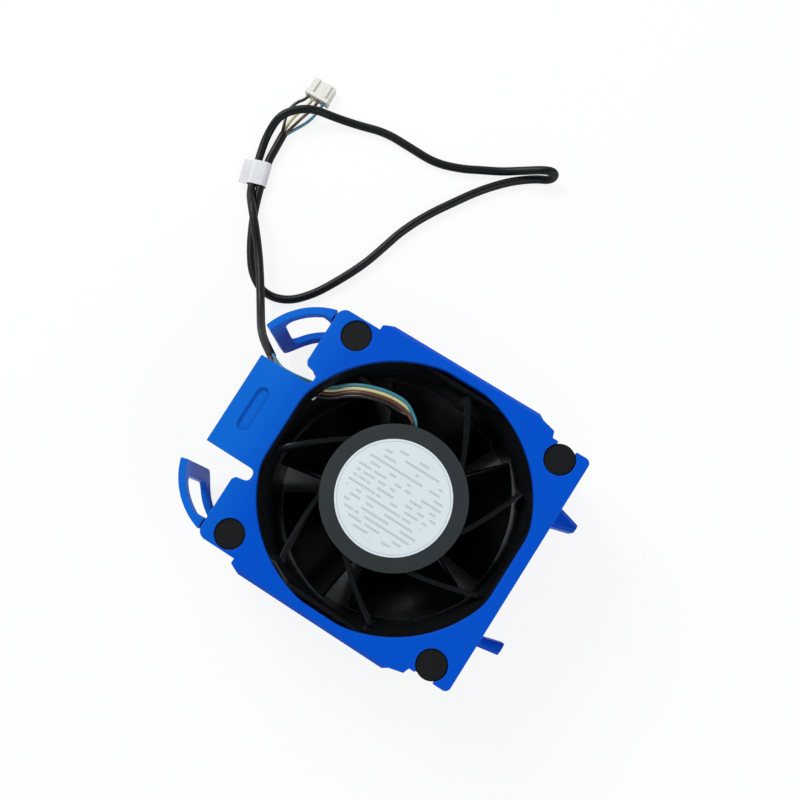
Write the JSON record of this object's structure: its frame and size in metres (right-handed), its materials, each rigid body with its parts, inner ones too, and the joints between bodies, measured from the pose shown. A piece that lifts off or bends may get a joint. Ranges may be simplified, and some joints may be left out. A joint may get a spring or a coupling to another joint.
{
  "type": "server fan module",
  "caption": "Axial cooling fan in a clip-in plastic carrier with squeeze arms, locating prongs, rubber isolators and a sleeved lead.",
  "frame": {"origin": "on the fan axis, at the rear face of the housing, the centre of its four rear screw holes", "axes": "+Z along the fan axis from the rear face to the carrier's front plate, +X towards the locating prongs, -X towards the finger handle"},
  "size_m": [0.1634, 0.1712, 0.0412],
  "materials": {
    "carrier_plastic": "moulded, satin",
    "fan_plastic": "moulded, glass filled",
    "impeller_plastic": "moulded, polished",
    "label_film": "silver-white film",
    "brass": "turned",
    "bearing_steel": "ground",
    "spring_steel": "plain",
    "cup_steel": "drawn",
    "magnet": "bonded ferrite",
    "laminations": "stamped stack",
    "insulator_plastic": "moulded nylon",
    "copper_wire": "enamelled winding",
    "board_resin": "solder mask",
    "chip_plastic": "epoxy",
    "can_metal": "can",
    "isolator_rubber": "moulded",
    "wire_insulation": "vinyl, one colour for each wire",
    "sleeve_vinyl": "matt vinyl tube",
    "tag_paper": "folded label",
    "plug_plastic": "nylon",
    "contact_metal": "tinned"
  },
  "bodies": {
    "frame": {"carrier": "carrier_plastic", "fan_housing": "fan_plastic", "hub_label": "label_film", "bearing_tube": "brass", "lower_bearing_outer_ring": "bearing_steel", "lower_bearing_balls": "bearing_steel", "upper_bearing_outer_ring": "bearing_steel", "upper_bearing_balls": "bearing_steel", "bearing_shields": "bearing_steel", "preload_spring": "spring_steel", "stator_core": "laminations", "lower_insulator": "insulator_plastic", "upper_insulator": "insulator_plastic", "coils": "copper_wire", "circuit_board": "board_resin", "hall_sensor": "chip_plastic", "driver_chip": "chip_plastic", "capacitors": "can_metal", "chip_resistors": "chip_plastic", "isolator_right_upper": "isolator_rubber", "isolator_left_upper": "isolator_rubber", "isolator_left_lower": "isolator_rubber", "isolator_right_lower": "isolator_rubber", "lead_wires": "wire_insulation", "plug_wires": "wire_insulation", "cable_sleeve": "sleeve_vinyl", "cable_tag": "tag_paper", "plug_housing": "plug_plastic", "plug_contacts": "contact_metal"},
    "rotor": {"impeller": "impeller_plastic", "rotor_cup": "cup_steel", "magnet_ring": "magnet", "shaft": "bearing_steel", "shaft_bush": "brass", "lower_bearing_inner_ring": "bearing_steel", "upper_bearing_inner_ring": "bearing_steel", "end_washer": "spring_steel", "retaining_clip": "spring_steel"},
    "upper_arm": {"upper_squeeze_arm": "carrier_plastic"},
    "lower_arm": {"lower_squeeze_arm": "carrier_plastic"}
  },
  "joints": [
    {"name": "impeller_spin", "type": "hinge", "parent": "frame", "child": "rotor", "pos_m": [0, 0, 0.014], "axis": [0, 0, 1], "continuous": true},
    {"name": "upper_arm_flex", "type": "hinge", "parent": "frame", "child": "upper_arm", "pos_m": [-0.0427, 0.0374, 0.02], "axis": [0, 0, 1], "range_deg": [0, 6], "stiffness_Nm_per_rad": 0.5},
    {"name": "lower_arm_flex", "type": "hinge", "parent": "frame", "child": "lower_arm", "pos_m": [-0.0427, -0.0374, 0.02], "axis": [0, 0, -1], "range_deg": [0, 6], "stiffness_Nm_per_rad": 0.5}
  ]
}
